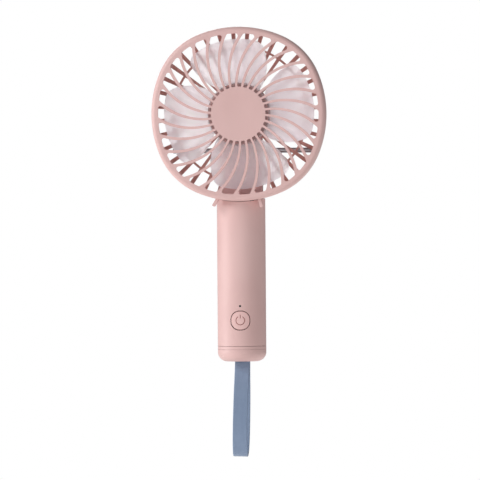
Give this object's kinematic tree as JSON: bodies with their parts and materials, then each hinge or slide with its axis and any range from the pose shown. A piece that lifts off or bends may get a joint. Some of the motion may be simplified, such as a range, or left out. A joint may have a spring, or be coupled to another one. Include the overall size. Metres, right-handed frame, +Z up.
{
  "type": "handheld electric fan",
  "caption": "Battery fan with a guarded round-cornered head on a straight round handle, with a power button and a flat wrist strap.",
  "frame": {"origin": "on the handle's axis, at the middle of the length that a hand grips", "axes": "+Z up the handle to the head, -Y out of the front of the fan, +X to the right of someone facing the front"},
  "size_m": [0.1048, 0.0346, 0.259],
  "materials": {
    "shell_pink": "fine satin moulding",
    "button_pink": "fine satin moulding",
    "frosted_blade": "frosted, lets light through",
    "steel": "drawn, plain",
    "core_steel": "stacked laminations",
    "magnet": "bonded magnet, dull",
    "brass": "turned",
    "copper_wire": "enamelled copper wire",
    "circuit_board": "solder mask",
    "black_plastic": "moulded",
    "lamp_clear": "clear, slightly smoky",
    "socket_steel": "bright plated",
    "cell_wrap": "shrink wrap",
    "nickel": "nickel strip",
    "foam": "closed-cell foam",
    "lead_red": "soft insulation",
    "lead_black": "soft insulation",
    "strap_webbing": "flat woven strap"
  },
  "bodies": {
    "handle": {"rear_guard": "shell_pink", "rear_cross_rod": "steel", "front_bearing": "steel", "rear_bearing": "steel", "bearing_tube": "brass", "stator_core": "core_steel", "stator_coils": "copper_wire", "motor_board": "circuit_board", "motor_board_screws": "steel", "handle_rear_shell": "shell_pink", "pod_cover": "shell_pink", "pod_cover_screws": "steel", "handle_front_shell": "shell_pink", "cap_ring": "shell_pink", "bottom_cap": "shell_pink", "strap_pin": "steel", "switch_body": "black_plastic", "indicator_lamp": "lamp_clear", "lamp_window": "lamp_clear", "main_board": "circuit_board", "main_board_screws": "steel", "charging_board": "circuit_board", "charging_socket": "socket_steel", "battery_cell": "cell_wrap", "battery_tabs": "nickel", "battery_pads": "foam", "motor_leads": "lead_red", "battery_leads": "lead_black", "charging_leads": "lead_black"},
    "fan_rotor": {"fan_blades": "frosted_blade", "rotor_can": "steel", "magnet_ring": "magnet", "motor_shaft": "steel", "shaft_clip": "steel"},
    "front_cover": {"front_guard": "shell_pink"},
    "button": {"power_button": "button_pink"},
    "plunger": {"switch_plunger": "black_plastic"},
    "strap": {"wrist_strap": "strap_webbing"}
  },
  "joints": [
    {"name": "rotor_spin", "type": "hinge", "parent": "handle", "child": "fan_rotor", "pos_m": [0, -0.0106, 0.084], "axis": [0, -1, 0], "continuous": true},
    {"name": "front_cover_off", "type": "slide", "parent": "handle", "child": "front_cover", "axis": [0, -1, 0], "range_m": [0, 0.03]},
    {"name": "button_press", "type": "slide", "parent": "handle", "child": "button", "axis": [0, 1, 0], "range_m": [0, 0.0003], "stiffness_N_per_m": 3000, "springref_m": -0.0002},
    {"name": "plunger_press", "type": "slide", "parent": "handle", "child": "plunger", "axis": [0, 1, 0], "range_m": [0, 0.0003]},
    {"name": "strap_swing", "type": "hinge", "parent": "handle", "child": "strap", "pos_m": [0, 0, -0.0618], "axis": [1, 0, 0], "range_deg": [-20, 20]}
  ],
  "couplings": [
    {"joint": "plunger_press", "follows": "button_press", "ratio": 1}
  ]
}
